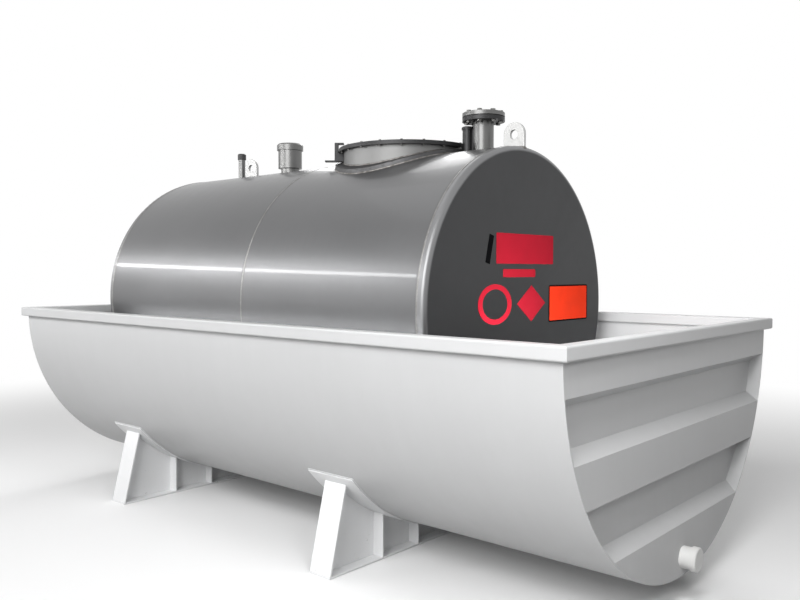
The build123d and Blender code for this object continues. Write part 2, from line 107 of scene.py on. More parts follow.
# Lamps: name, place, the spot it is aimed at, its two sides, power in watts, and if metal
# mirrors it. Well and gap stand inside the trough, where little light gets in from outside.
LAMPS = (
    ("key", (2.0, -6.8, 4.1), (0.6, 0.0, 1.0), (5.0, 4.0), 200, False),
    ("soft_box", (1.92, -6.5, 3.96), (0.6, 0.0, 1.0), (4.8, 3.8), 300, True),
    ("strip", (-3.56, -3.40, 2.79), (-2.82, -0.91, 1.60), (4.4, 0.15), 66, True),
    ("crown", (-3.0, 4.2, 4.6), (0.6, -0.3, 2.1), (3.4, 1.6), 90, True),
    ("crown_soft", (-1.9, 2.1, 4.7), (0.9, -0.4, 2.1), (1.6, 1.4), 16, True),
    ("above", (-1.2, -1.0, 5.7), (1.0, -0.6, 1.9), (2.4, 2.4), 9, True),
    ("horizon", (-3.6, -5.6, 1.9), (0.2, -0.85, 1.4), (6.0, 1.2), 14, True),
    ("front", (4.0, -2.5, 2.5), (2.2, -0.5, 0.8), (1.0, 1.0), 40, False),
    ("back", (-1.5, 6.5, 5.0), (0.0, 0.0, 0.8), (5.0, 4.0), 200, False),
    ("basin", (2.7, -1.5, 2.9), (1.2, 1.1, 1.15), (1.0, 0.6), 38, False),
    ("well", (1.68, -0.5, 1.05), (1.2, 0.9, 1.15), (0.3, 0.25), 13, False),
    ("gap", (-0.15, -0.99, 1.12), (-0.15, -1.125, 1.25), (3.0, 0.06), 15, False),
)


def middle_of(node):
    """The middle of a node's box."""
    low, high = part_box(node)
    return (low + high) / 2


def size_of(node):
    """The sides of a node's box."""
    low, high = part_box(node)
    return high - low


class WeldSettings(bpy.types.PropertyGroup):
    """Sizes of the weld beads."""

    seam_width: FloatProperty(
        name="Seam width", description="Width of the butt welds round the tank",
        default=0.010, min=0.002, max=0.04, subtype="DISTANCE", unit="LENGTH",
    )
    seam_height: FloatProperty(
        name="Seam height", description="How far a butt weld stands proud",
        default=0.0018, min=0.0005, max=0.01, subtype="DISTANCE", unit="LENGTH",
    )
    seam_place: FloatProperty(
        name="Middle seam", description="Place of the butt weld between the two shell sheets",
        default=-0.10, subtype="DISTANCE", unit="LENGTH",
    )
    fillet: FloatProperty(
        name="Fillet", description="Radius of the bead round the foot of a fitting",
        default=0.005, min=0.001, max=0.02, subtype="DISTANCE", unit="LENGTH",
    )
    trough_fillet: FloatProperty(
        name="Trough fillet", description="Radius of the painted beads on the trough",
        default=0.005, min=0.001, max=0.02, subtype="DISTANCE", unit="LENGTH",
    )
    unevenness: FloatProperty(
        name="Unevenness", description="How much a hand-laid bead wanders in height",
        default=0.0009, min=0.0, max=0.005, subtype="DISTANCE", unit="LENGTH",
    )


class BoltSettings(bpy.types.PropertyGroup):
    """Sizes of the bolts in the manhole cover."""

    count: IntProperty(
        name="Bolts", description="Bolts round the manhole cover", default=20, min=4, max=60,
    )
    inset: FloatProperty(
        name="Inset", description="From the cover's edge to the middle of a bolt",
        default=0.0145, min=0.005, max=0.1, subtype="DISTANCE", unit="LENGTH",
    )
    across: FloatProperty(
        name="Across flats", description="Size of the hexagons across the flats",
        default=0.013, min=0.005, max=0.05, subtype="DISTANCE", unit="LENGTH",
    )
    head: FloatProperty(
        name="Head", description="Height of a bolt's head",
        default=0.0045, min=0.002, max=0.02, subtype="DISTANCE", unit="LENGTH",
    )
    washer: FloatProperty(
        name="Washer", description="Thickness of the washer under a head",
        default=0.0013, min=0.0005, max=0.01, subtype="DISTANCE", unit="LENGTH",
    )


class PanelSettings(bpy.types.PropertyGroup):
    """Colours and thickness of the bare panels on the front end."""

    thickness: FloatProperty(
        name="Thickness", description="Thickness of a panel", default=0.0012,
        min=0.0002, max=0.01, subtype="DISTANCE", unit="LENGTH",
    )
    red: FloatVectorProperty(
        name="Red", description="Colour of the red panels", size=3,
        default=(0.36, 0.012, 0.025), min=0, max=1, subtype="COLOR",
    )
    orange: FloatVectorProperty(
        name="Orange", description="Colour of the orange plate", size=3,
        default=(0.80, 0.042, 0.012), min=0, max=1, subtype="COLOR",
    )
    black: FloatVectorProperty(
        name="Black", description="Colour of the black strip and of the plate's border", size=3,
        default=(0.003, 0.003, 0.0034), min=0, max=1, subtype="COLOR",
    )


class FinishSettings(bpy.types.PropertyGroup):
    """Colours of the metal, the paint and the plastic."""

    sheet: FloatVectorProperty(
        name="Tank sheet", description="Cold rolled stainless sheet", size=3,
        default=(0.152, 0.153, 0.156), min=0, max=1, subtype="COLOR",
    )
    end: FloatVectorProperty(
        name="Tank end", description="Dark satin sheet of the flat ends", size=3,
        default=(0.077, 0.078, 0.080), min=0, max=1, subtype="COLOR",
    )
    tube: FloatVectorProperty(
        name="Fittings", description="Pickled tube and plate", size=3,
        default=(0.17, 0.17, 0.168), min=0, max=1, subtype="COLOR",
    )
    paint: FloatVectorProperty(
        name="Trough paint", description="Off-white paint of the trough and its cradles", size=3,
        default=(0.52, 0.523, 0.527), min=0, max=1, subtype="COLOR",
    )
    pad: FloatVectorProperty(
        name="Pad", description="Dull plate of the pad round the manhole", size=3,
        default=(0.105, 0.105, 0.107), min=0, max=1, subtype="COLOR",
    )
    neck: FloatVectorProperty(
        name="Neck", description="Dull pickled sheet of the manhole's neck", size=3,
        default=(0.225, 0.225, 0.223), min=0, max=1, subtype="COLOR",
    )
    forged: FloatVectorProperty(
        name="Forged", description="Dull grey of the flanges and of the dip pipe", size=3,
        default=(0.045, 0.045, 0.046), min=0, max=1, subtype="COLOR",
    )
    edge: FloatProperty(
        name="Edge", description="Width of the bevel on the edges of plates", default=0.002,
        min=0.0, max=0.01, subtype="DISTANCE", unit="LENGTH",
    )
    plastic: FloatVectorProperty(
        name="Plastic", description="Moulded cap of the gauge socket", size=3,
        default=(0.018, 0.018, 0.019), min=0, max=1, subtype="COLOR",
    )


class StageSettings(bpy.types.PropertyGroup):
    """Camera and floor."""

    eye: FloatVectorProperty(
        name="Camera", description="Place of the camera", size=3,
        default=(3.5812, -3.6808, 1.5478), subtype="TRANSLATION", unit="LENGTH",
    )
    heading: FloatProperty(
        name="Heading", description="Camera's turn to the left of the +Y axis",
        default=0.7201, subtype="ANGLE", unit="ROTATION",
    )
    tilt: FloatProperty(
        name="Tilt", description="Camera's tilt below the horizontal",
        default=0.0371, subtype="ANGLE", unit="ROTATION",
    )
    roll: FloatProperty(
        name="Roll", description="Camera's turn about its own line of sight",
        default=0.0023, subtype="ANGLE", unit="ROTATION",
    )
    lens: FloatProperty(
        name="Lens", description="Focal length in millimetres on a 36 mm sensor",
        default=36.30, min=10, max=200,
    )
    floor: FloatVectorProperty(
        name="Floor", description="Colour of the floor near the tank", size=3,
        default=(0.93, 0.93, 0.93), min=0, max=1, subtype="COLOR",
    )


class Strand:
    """A shader socket that can stand in a Python sum."""

    def __init__(self, recipe, socket):
        self.recipe = recipe
        self.socket = socket

    def _maths(self, operation, first, second):
        return self.recipe.node("Math", {"operation": operation}, {0: first, 1: second})

    def __add__(self, other):
        return self._maths("ADD", self, other)

    __radd__ = __add__

    def __sub__(self, other):
        return self._maths("SUBTRACT", self, other)

    def __rsub__(self, other):
        return self._maths("SUBTRACT", other, self)

    def __mul__(self, other):
        return self._maths("MULTIPLY", self, other)

    __rmul__ = __mul__

    def __pow__(self, other):
        return self._maths("POWER", self, other)

    def __abs__(self):
        return self._maths("ABSOLUTE", self, 0.0)


class Recipe:
    """The nodes of one finish, one world or one floor."""

    def __init__(self, owner):
        owner.use_nodes = True
        self.tree = owner.node_tree

    def node(self, kind, settings=None, values=None, output=0):
        """Makes a node with its settings, values and links, and returns one of its outputs."""
        made = self.tree.nodes.new("ShaderNode" + kind)
        for key, value in (settings or {}).items():
            setattr(made, key, value)
        for key, value in (values or {}).items():
            self.feed(made.inputs[key], value)
        return Strand(self, made.outputs[output])

    def feed(self, socket, value):
        """Links a strand to a socket, or sets the socket's own value."""
        if isinstance(value, Strand):
            self.tree.links.new(value.socket, socket)
        elif socket.type == "RGBA" and len(value) == 3:
            socket.default_value = (*value, 1.0)
        else:
            socket.default_value = value

    def place(self):
        """Object coordinates, which here are metres in the part's frame."""
        return self.node("TexCoord", output=3)

    def axis(self, place, name):
        """One of the three numbers of a place."""
        return self.node("SeparateXYZ", None, {0: place}, "XYZ".index(name))

    def stretch(self, place, x, y, z):
        """A place scaled along each axis."""
        return self.node("VectorMath", {"operation": "MULTIPLY"}, {0: place, 1: (x, y, z)})

    def point(self, x, y, z):
        """A place made of three numbers."""
        return self.node("CombineXYZ", None, {0: x, 1: y, 2: z})

    def noise(self, place, scale, detail=2.0, roughness=0.5):
        """Soft noise about 0.5."""
        return self.node(
            "TexNoise", None,
            {"Vector": place, "Scale": scale, "Detail": detail, "Roughness": roughness},
        )

    def rise(self, value, low, high):
        """0 below low, 1 above high, and smooth between."""
        return self.node(
            "MapRange", {"interpolation_type": "SMOOTHSTEP"},
            {"Value": value, "From Min": low, "From Max": high},
        )

    def mix(self, factor, first, second):
        """One colour into another."""
        return self.node("Mix", {"data_type": "RGBA"}, {0: factor, 6: first, 7: second}, 2)

    def shade(self, colour, level):
        """A colour made darker or lighter by a number near 1."""
        grey = self.point(level, level, level)
        return self.node("VectorMath", {"operation": "MULTIPLY"}, {0: colour, 1: grey})

    def bump(self, height, distance, strength, under=None):
        """A normal from a height between 0 and 1."""
        values = {"Height": height, "Distance": distance, "Strength": strength}
        if under:
            values["Normal"] = under
        return self.node("Bump", None, values)

    def surface(self, **values):
        """Sets the Principled shader's sockets, named with underscores for spaces."""
        shader = next(n for n in self.tree.nodes if n.type == "BSDF_PRINCIPLED")
        for key, value in values.items():
            self.feed(shader.inputs[key.replace("_", " ")], value)


def round_tank(r, place):
    """How far round the tank's shell a place lies, in metres."""
    side, up = r.axis(place, "Y"), r.axis(place, "Z") - TANK_AXIS
    return TANK_RADIUS * r.node("Math", {"operation": "ARCTAN2"}, {0: side, 1: up})


def metal_sheet(r, colour, place):
    """Colour, roughness and normal of sheet rolled round the tank, with its grain that way."""
    x, turn = r.axis(place, "X"), round_tank(r, place)
    grain = r.noise(r.point(x * 900, turn * 14, 0.0), 1.0, 3.0, 0.6)
    cloud = r.noise(place, 1.7, 4.0, 0.55)
    mottle = r.noise(place, 23.0, 3.0, 0.6)
    streak = r.noise(r.point(x * 26, turn * 1.2, 0.0), 1.0, 4.0, 0.6)
    level = 0.86 + 0.16 * cloud + 0.06 * mottle + 0.06 * streak
    rough = 0.02 + 0.07 * cloud + 0.05 * mottle + 0.04 * grain + 0.06 * streak
    dents = r.noise(place, 2.6, 1.0, 0.4)
    normal = r.bump(dents, 0.006, 0.5)
    normal = r.bump(grain, 0.00012, 0.5, normal)
    return r.shade(colour, level), rough, normal


def seam_tint(r, x, seams, width):
    """1 on the seams and 0 away from them."""
    total = 0.0
    for seam in seams:
        total = (1 - r.rise(abs(x - seam), 0.35 * width, width)) + total
    return total


def make_tank_sheet(r, s):
    """Cold rolled stainless shell with faint heat marks beside its seams."""
    place = r.place()
    colour, rough, normal = metal_sheet(r, s.finishes.sheet, place)
    flaw = r.noise(place, 60.0)
    heat = seam_tint(r, r.axis(place, "X"), seam_places(s), 0.022) * (0.6 + 0.5 * flaw)
    colour = r.mix(heat * 0.12, colour, HEAT_TINT)
    r.surface(
        Base_Color=colour, Metallic=1.0, Roughness=0.24 + rough + 0.06 * heat, Normal=normal,
        Coat_Weight=0.24 - 0.20 * heat, Coat_Roughness=0.07,
    )


def make_tank_end(r, s):
    """Flat end in dark satin, with a painted highlight that makes its knuckle and straight
    flange brighter than the shell.
    """
    place = r.place()
    colour, rough, normal = metal_sheet(r, s.finishes.sheet, place)
    # Painted highlight: the knuckle and straight flange get the shell's colour made lighter
    colour = r.shade(colour, KNUCKLE_PAINTED_HIGHLIGHT)
    reach = (r.axis(place, "Y") ** 2 + (r.axis(place, "Z") - TANK_AXIS) ** 2) ** 0.5
    wander = 0.004 * r.noise(place, 9.0, 3.0)
    flat = 1 - r.rise(reach + wander, TANK_RADIUS - SATIN_FULL, TANK_RADIUS - SATIN_BEGINS)
    brushed = r.noise(r.stretch(place, 1.0, 5.0, 420.0), 1.0, 3.0, 0.6)
    cloud = r.noise(place, 2.2, 4.0)
    dark = r.shade(s.finishes.end, 0.84 + 0.18 * cloud + 0.10 * brushed)
    colour = r.mix(flat, colour, dark)
    r.surface(
        Base_Color=colour, Metallic=1.0, Normal=normal,
        Roughness=0.27 + rough + flat * (0.12 + 0.08 * brushed),
    )


def make_fittings(r, s):
    """Pickled stainless tube and plate, with turning marks and dull patches."""
    place = r.place()
    turned = r.noise(r.stretch(place, 60.0, 60.0, 1500.0), 1.0, 2.0)
    cloud = r.noise(place, 14.0, 4.0, 0.6)
    spots = r.rise(r.noise(place, 90.0, 2.0), 0.60, 0.72)
    colour = r.shade(s.finishes.tube, 0.84 + 0.26 * cloud)
    colour = r.mix(spots * 0.12, colour, DULL_SPOT)
    r.surface(
        Base_Color=colour, Metallic=1.0, Roughness=0.30 + 0.08 * cloud + 0.06 * turned,
        Normal=r.bump(turned, 0.0001, 0.6),
    )


def make_pad(r, s):
    """Dull rolled plate with scale marks from the welding round it."""
    place = r.place()
    cloud = r.noise(place, 11.0, 4.0, 0.6)
    scale = r.rise(r.noise(place, 48.0, 4.0, 0.7), 0.50, 0.66)
    colour = r.shade(s.finishes.pad, 0.80 + 0.30 * cloud)
    colour = r.mix(scale * 0.35, colour, MILL_SCALE)
    r.surface(
        Base_Color=colour, Metallic=1.0, Roughness=0.40 + 0.14 * cloud + 0.10 * scale,
        Normal=r.bump(scale, 0.0003, 0.4),
    )


def make_forged(r, s):
    """Dull grey flanges, darker in the turned rings."""
    place = r.place()
    turned = r.noise(r.stretch(place, 40.0, 40.0, 1100.0), 1.0, 2.0)
    cloud = r.noise(place, 22.0, 4.0, 0.6)
    colour = r.shade(s.finishes.forged, 0.70 + 0.42 * cloud + 0.16 * turned)
    r.surface(
        Base_Color=colour, Metallic=0.9, Roughness=0.36 + 0.16 * cloud,
        Normal=r.bump(turned, 0.00012, 0.6),
    )


def make_drain(r, s):
    """White moulded drain socket and cap."""
    place = r.place()
    grain = r.noise(place, 900.0, 2.0)
    cloud = r.noise(place, 16.0, 3.0)
    colour = r.mix(0.12 * cloud, DRAIN_WHITE, DRAIN_GRIME)
    r.surface(
        Base_Color=colour, Roughness=0.34 + 0.15 * cloud, Normal=r.bump(grain, 0.00012, 0.4),
    )


def make_lug_plate(r, s):
    """Pale bead-blasted plate of the lifting lugs."""
    place = r.place()
    pits = r.noise(place, 900.0, 2.0)
    cloud = r.noise(place, 18.0, 3.0)
    rub = r.rise(r.noise(place, 40.0, 4.0, 0.7), 0.56, 0.70)
    colour = r.shade(LUG_PALE, 0.84 + 0.20 * cloud)
    colour = r.mix(rub * 0.3, colour, LUG_RUBBED)
    r.surface(
        Base_Color=colour, Metallic=0.85, Roughness=0.38 + 0.14 * cloud + 0.05 * pits,
        Normal=r.bump(pits, 0.0002, 0.5),
    )


def make_bolts(r, s):
    """Stainless bolts, patchy in tone and in shine."""
    place = r.place()
    cloud = r.noise(place, 130.0, 3.0)
    fine = r.noise(place, 1400.0, 2.0)
    r.surface(
        Base_Color=r.shade(BOLT_GREY, 0.72 + 0.40 * cloud), Metallic=1.0,
        Roughness=0.30 + 0.18 * cloud, Normal=r.bump(fine, 0.0001, 0.4),
    )


def make_weld(r, s):
    """Bare weld metal, rippled and stained by heat."""
    place = r.place()
    ripple = r.noise(place, 330.0, 2.0, 0.4)
    stain = r.noise(place, 45.0, 3.0)
    colour = r.mix(r.rise(stain, 0.35, 0.7), WELD_BRIGHT, WELD_STAINED)
    r.surface(
        Base_Color=colour, Metallic=1.0, Roughness=0.34 + 0.2 * stain,
        Normal=r.bump(ripple, 0.0012, 0.9),
    )


def make_seam(r, s):
    """Ground butt weld, a shade lighter than the sheet beside it."""
    place = r.place()
    ripple = r.noise(place, 260.0, 2.0, 0.4)
    stain = r.noise(place, 30.0, 3.0)
    colour = r.mix(r.rise(stain, 0.35, 0.7), SEAM_BRIGHT, SEAM_STAINED)
    r.surface(
        Base_Color=colour, Metallic=1.0, Roughness=0.36 + 0.1 * stain,
        Normal=r.bump(ripple, 0.0004, 0.5),
    )


def make_neck(r, s):
    """Dull pickled sheet of the manhole's neck, with marks from the rolls."""
    place = r.place()
    rolled = r.noise(r.stretch(place, 9.0, 9.0, 260.0), 1.0, 3.0)
    cloud = r.noise(place, 7.0, 4.0, 0.6)
    colour = r.shade(s.finishes.neck, 0.86 + 0.22 * cloud)
    r.surface(
        Base_Color=colour, Metallic=1.0, Roughness=0.42 + 0.12 * cloud + 0.08 * rolled,
        Normal=r.bump(rolled, 0.0002, 0.5),
    )


def make_plastic(r, s):
    """Black moulded plastic with fine grain, greyed by the sun."""
    place = r.place()
    grain = r.noise(place, 1600.0, 2.0)
    cloud = r.noise(place, 35.0, 3.0)
    colour = r.mix(0.25 * cloud, s.finishes.plastic, SUN_GREY)
    r.surface(
        Base_Color=colour, Roughness=0.42 + 0.2 * cloud, Normal=r.bump(grain, 0.00015, 0.5),
    )


def painted(r, s, tint=1.0):
    """Place, colour, roughness and grain of sprayed paint, with dust and faint runs."""
    place = r.place()
    peel = r.noise(place, 260.0, 2.0)
    cloud = r.noise(place, 1.4, 4.0, 0.55)
    runs = r.noise(r.stretch(place, 11.0, 11.0, 0.8), 1.0, 4.0, 0.6)
    # Darker and rougher towards the bottom, by up to a twentieth of the colour
    low = 1 - r.rise(r.axis(place, "Z") + 0.25 * runs, 0.10, 0.75)
    level = tint * (0.93 + 0.06 * cloud + 0.05 * runs - 0.05 * low)
    specks = r.rise(r.noise(place, 75.0, 3.0, 0.7), 0.66, 0.74)
    colour = r.shade(s.finishes.paint, level)
    colour = r.mix(specks * 0.16, colour, DUST)
    rough = 0.36 + 0.12 * cloud + 0.10 * low
    return place, colour, rough, peel


def make_paint(r, s):
    """Off-white paint on the sheet of the trough."""
    place, colour, rough, peel = painted(r, s)
    waves = r.noise(place, 2.2, 1.0, 0.4)
    normal = r.bump(waves, 0.005, 0.4)
    r.surface(
        Base_Color=colour, Roughness=rough, Coat_Weight=0.12 + 0.05 * peel, Coat_Roughness=0.25,
        Normal=r.bump(peel, 0.00018, 0.5, normal),
    )


def make_plate_paint(r, s):
    """The same paint on the plates of the cradles, chipped to grey primer in places."""
    place, colour, rough, peel = painted(r, s, PLATE_TINT)
    foot = 1 - r.rise(r.axis(place, "Z"), 0.0, 0.30)
    chips = r.rise(r.noise(place, 34.0, 5.0, 0.75), 0.66, 0.69) * foot
    colour = r.mix(chips * 0.7, colour, PRIMER)
    height = peel - chips * 0.8
    r.surface(
        Base_Color=colour, Roughness=rough + 0.15 * chips, Coat_Weight=0.1 * (1 - chips),
        Coat_Roughness=0.3, Normal=r.bump(height, 0.00025, 0.6),
    )


def make_weld_paint(r, s):
    """Paint over a rippled weld bead."""
    place, colour, rough, peel = painted(r, s)
    ripple = r.noise(place, 240.0, 2.0, 0.4)
    r.surface(
        Base_Color=colour, Roughness=rough, Coat_Weight=0.12 + 0.05 * peel, Coat_Roughness=0.3,
        Normal=r.bump(ripple, 0.0014, 0.8),
    )


def film(r, colour, gloss=0.06):
    """Coloured film with faint fading and scuffs."""
    place = r.place()
    fade = r.noise(place, 9.0, 3.0)
    scuff = r.rise(r.noise(r.stretch(place, 1.0, 30.0, 160.0), 1.0, 4.0, 0.7), 0.62, 0.75)
    peel = r.noise(place, 500.0, 2.0)
    tone = r.shade(colour, 0.86 + 0.28 * fade - 0.10 * scuff)
    r.surface(
        Base_Color=tone, Roughness=0.55 + 0.15 * fade + 0.1 * scuff, Specular_IOR_Level=gloss,
        Normal=r.bump(peel, 0.0001, 0.4),
    )


def make_red_film(r, s):
    """Red film."""
    film(r, s.panels.red)


def make_orange_film(r, s):
    """Orange film."""
    film(r, s.panels.orange)


def make_black_film(r, s):
    """Black film."""
    film(r, s.panels.black, 0.01)


FINISHES = {
    "tank_sheet": make_tank_sheet,
    "tank_end": make_tank_end,
    "fittings": make_fittings,
    "pad": make_pad,
    "forged": make_forged,
    "drain": make_drain,
    "lug_plate": make_lug_plate,
    "bolts": make_bolts,
    "weld": make_weld,
    "seam": make_seam,
    "neck": make_neck,
    "plastic": make_plastic,
    "paint": make_paint,
    "plate_paint": make_plate_paint,
    "weld_paint": make_weld_paint,
    "red_film": make_red_film,
    "orange_film": make_orange_film,
    "black_film": make_black_film,
}


class Settings:
    """All settings of the scene, under short names."""

    def __init__(self, scene):
        self.welds = scene.tank_welds
        self.bolts = scene.tank_bolts
        self.panels = scene.tank_panels
        self.finishes = scene.tank_finishes
        self.stage = scene.tank_stage


def finish(name):
    """A finish by its name, made the first time it is asked for."""
    made = bpy.data.materials.get(name)
    if made is None:
        made = bpy.data.materials.new(name)
        FINISHES[name](Recipe(made), Settings(bpy.context.scene))
    return made


def free_hands():
    """Leaves edit mode and deselects everything."""
    if bpy.context.object and bpy.context.object.mode != "OBJECT":
        bpy.ops.object.mode_set(mode="OBJECT")
    bpy.ops.object.select_all(action="DESELECT")


def take(piece):
    """Makes a piece the only one selected, and active."""
    free_hands()
    piece.select_set(True)
    bpy.context.view_layer.objects.active = piece


def primitive(kind, **sizes):
    """Adds a mesh primitive, with its place put into its mesh."""
    free_hands()
    getattr(bpy.ops.mesh, f"primitive_{kind}_add")(**sizes)
    bpy.ops.object.transform_apply(location=True, rotation=True, scale=True)
    return bpy.context.object


def pick(piece, wanted, kind="FACE"):
    """Goes into edit mode with those faces or edges selected that pass the test."""
    take(piece)
    mesh = piece.data
    for part in (*mesh.vertices, *mesh.edges, *mesh.polygons):
        part.select = False
    if kind == "FACE":
        for face in mesh.polygons:
            face.select = wanted(face.center, face.normal)
    else:
        for edge in mesh.edges:
            edge.select = wanted(*(mesh.vertices[n].co for n in edge.vertices))
    bpy.ops.object.mode_set(mode="EDIT")
    bpy.ops.mesh.select_mode(type=kind)


def apply_modifier(piece, kind, **settings):
    """Puts a modifier on a piece and applies it."""
    take(piece)
    modifier = piece.modifiers.new(kind.lower(), kind)
    for key, value in settings.items():
        setattr(modifier, key, value)
    bpy.ops.object.modifier_apply(modifier=modifier.name)


def settle(piece, name, look, smooth):
    """Names a finished piece, puts its place into its mesh and ties it to the part."""
    take(piece)
    bpy.ops.object.transform_apply(location=True, rotation=True, scale=True)
    piece.name = name
    piece.data.name = name
    piece.data.materials.clear()
    piece.data.materials.append(finish(look))
    bpy.ops.object.shade_smooth_by_angle(angle=radians(smooth))
    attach(piece, "root")
    return piece


def join(pieces):
    """Makes one mesh of several."""
    take(pieces[0])
    for piece in pieces:
        piece.select_set(True)
    bpy.ops.object.join()
    return bpy.context.object


def roughen(piece, amount, size):
    """Moves a bead's surface a little, as a hand-laid bead wanders."""
    cloud = bpy.data.textures.new("wander", "CLOUDS")
    cloud.noise_scale = size
    apply_modifier(
        piece, "DISPLACE", texture=cloud, strength=amount, mid_level=0.5,
        texture_coords="LOCAL", direction="NORMAL",
    )
    bpy.data.textures.remove(cloud)


def bead(line, radius, wander):
    """Turns a line of edges into a round bead along it."""
    take(line)
    bpy.ops.object.convert(target="CURVE")
    line = bpy.context.object
    line.data.bevel_depth = radius
    line.data.bevel_resolution = 3
    line.data.use_fill_caps = True
    bpy.ops.object.convert(target="MESH")
    line = bpy.context.object
    take(line)
    bpy.ops.object.mode_set(mode="EDIT")
    bpy.ops.mesh.select_all(action="SELECT")
    bpy.ops.mesh.remove_doubles(threshold=1e-5)
    bpy.ops.mesh.normals_make_consistent(inside=False)
    bpy.ops.object.mode_set(mode="OBJECT")
    roughen(line, wander, radius * 4)
    return line


def drop_on(line, node, axis, positive, beside=None):
    """Projects a line of points along an axis onto a node, or onto the one beside it."""
    apply_modifier(
        line, "SHRINKWRAP", target=nodes[node], wrap_method="PROJECT",
        auxiliary_target=nodes[beside] if beside else None,
        use_project_x=axis == "X", use_project_y=axis == "Y", use_project_z=axis == "Z",
        use_positive_direction=positive, use_negative_direction=not positive,
    )


def seam_places(s):
    """Where the butt welds go round the tank, along X."""
    return SHELL_LOW.x, s.welds.seam_place, SHELL_HIGH.x


def seam_ring(x, s):
    """One butt weld round the tank: a flattened bead, half sunk in the sheet."""
    ring = primitive(
        "torus", location=(x, 0, TANK_AXIS), rotation=(0, pi / 2, 0),
        major_radius=TANK_RADIUS, minor_radius=s.welds.seam_height,
        major_segments=300, minor_segments=12,
    )
    pick(ring, lambda centre, normal: True)
    widen = s.welds.seam_width / 2 / s.welds.seam_height
    bpy.ops.transform.resize(value=(widen, 1, 1), center_override=(x, 0, TANK_AXIS))
    bpy.ops.object.mode_set(mode="OBJECT")
    roughen(ring, s.welds.unevenness / 2, 0.05)
    return ring


def foot_line(node, radius, onto, count):
    """A round line at the foot of an upright fitting, on the surface it stands on."""
    middle = middle_of(node)
    line = primitive(
        "circle", vertices=count, radius=radius, fill_type="NOTHING",
        location=(middle.x, middle.y, ABOVE),
    )
    drop_on(line, onto, "Z", False)
    return line


def footprint(low, high, cuts):
    """A rectangle of closely set points, from two corners on a level plane."""
    low, high = Vector(low), Vector(high)
    size = high - low
    middle = (low + high) / 2
    line = primitive("plane", size=1.0, location=middle)
    pick(line, lambda centre, normal: True)
    bpy.ops.transform.resize(value=(size.x, size.y, 1.0), center_override=middle)
    bpy.ops.mesh.delete(type="ONLY_FACE")
    bpy.ops.mesh.select_all(action="SELECT")
    bpy.ops.mesh.subdivide(number_cuts=cuts)
    bpy.ops.object.mode_set(mode="OBJECT")
    return line


def block(low, high):
    """A box between two corners."""
    return primitive("cube", size=1.0, location=(low + high) / 2, scale=high - low)


class TANK_OT_finishes(bpy.types.Operator):
    """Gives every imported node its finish"""

    bl_idname = "tank.finishes"
    bl_label = "Finishes"

    looks = {
        "tank_shell": "tank_sheet", "manhole_pad": "pad",
        "tank_end_front": "tank_end", "tank_end_back": "tank_end",
        "lifting_lug_front": "lug_plate", "lifting_lug_back": "lug_plate",
        "gauge_cap": "plastic", "fill_flange_bolts": "bolts",
        "trough_shell": "paint", "trough_end_front": "paint", "trough_end_back": "paint",
        "rim_right": "paint", "rim_left": "paint", "rim_front": "paint", "rim_back": "paint",
        "drain_nozzle": "drain", "drain_cap": "drain",
        "fill_flange": "forged", "manhole_bracket": "forged",
        "manhole_flange": "forged", "manhole_cover": "forged",
        "dip_pipe": "forged", "dip_cap": "forged", "manhole_neck": "neck",
    }

    def look_of(self, name):
        """The finish that a node gets."""
        if name in self.looks:
            return self.looks[name]
        if "cradle" in name:
            return "plate_paint"
        if "saddle" in name:
            return "tank_sheet"
        return "fittings"

    def execute(self, context):
        for name, node in nodes.items():
            for slot in node.material_slots:
                slot.material = finish(self.look_of(name))
        return {"FINISHED"}


class TANK_OT_edges(bpy.types.Operator):
    """Breaks the sharp edges of the plates with a small live bevel"""

    bl_idname = "tank.edges"
    bl_label = "Edges"

    plates = (
        "base", "web", "side_plates", "stiffeners", "lug_front", "lug_back", "ribs", "bracket",
    )

    def execute(self, context):
        s = Settings(context.scene)
        for name, node in nodes.items():
            if not name.endswith(self.plates):
                continue
            node.modifiers.new("weld", "WELD").merge_threshold = 1e-5
            bevel = node.modifiers.new("bevel", "BEVEL")
            bevel.width = s.finishes.edge
            bevel.segments = 2
            bevel.limit_method = "ANGLE"
            bevel.angle_limit = radians(40)
            bevel.harden_normals = True
        return {"FINISHED"}


class TANK_OT_shell_seams(bpy.types.Operator):
    """Lays the butt welds round the tank"""

    bl_idname = "tank.shell_seams"
    bl_label = "Shell seams"

    def execute(self, context):
        s = Settings(context.scene)
        names = ("seam_back", "seam_middle", "seam_front")
        for name, x in zip(names, seam_places(s)):
            settle(seam_ring(x, s), name, "seam", 60)
        return {"FINISHED"}


class TANK_OT_fitting_welds(bpy.types.Operator):
    """Lays the fillet welds round the feet of the fittings"""

    bl_idname = "tank.fitting_welds"
    bl_label = "Fitting welds"

    def execute(self, context):
        s = Settings(context.scene)
        feet = (
            ("manhole_neck_weld", "manhole_neck", "manhole_pad", 240),
            ("fill_pipe_weld", "fill_pipe", "tank_shell", 90),
            ("dip_pipe_weld", "dip_pipe", "tank_shell", 64),
            ("vent_neck_weld", "vent_neck", "tank_shell", 96),
            ("gauge_socket_weld", "gauge_socket", "tank_shell", 64),
        )
        for name, node, onto, count in feet:
            line = foot_line(node, size_of(node).x / 2 + BESIDE, onto, count)
            weld = bead(line, s.welds.fillet, s.welds.unevenness)
            settle(weld, name, "weld", 60)
        line = foot_line("manhole_pad", size_of("manhole_pad").y / 2, "tank_shell", 280)
        weld = bead(line, s.welds.fillet, s.welds.unevenness)
        settle(weld, "manhole_pad_weld", "weld", 60)
        return {"FINISHED"}


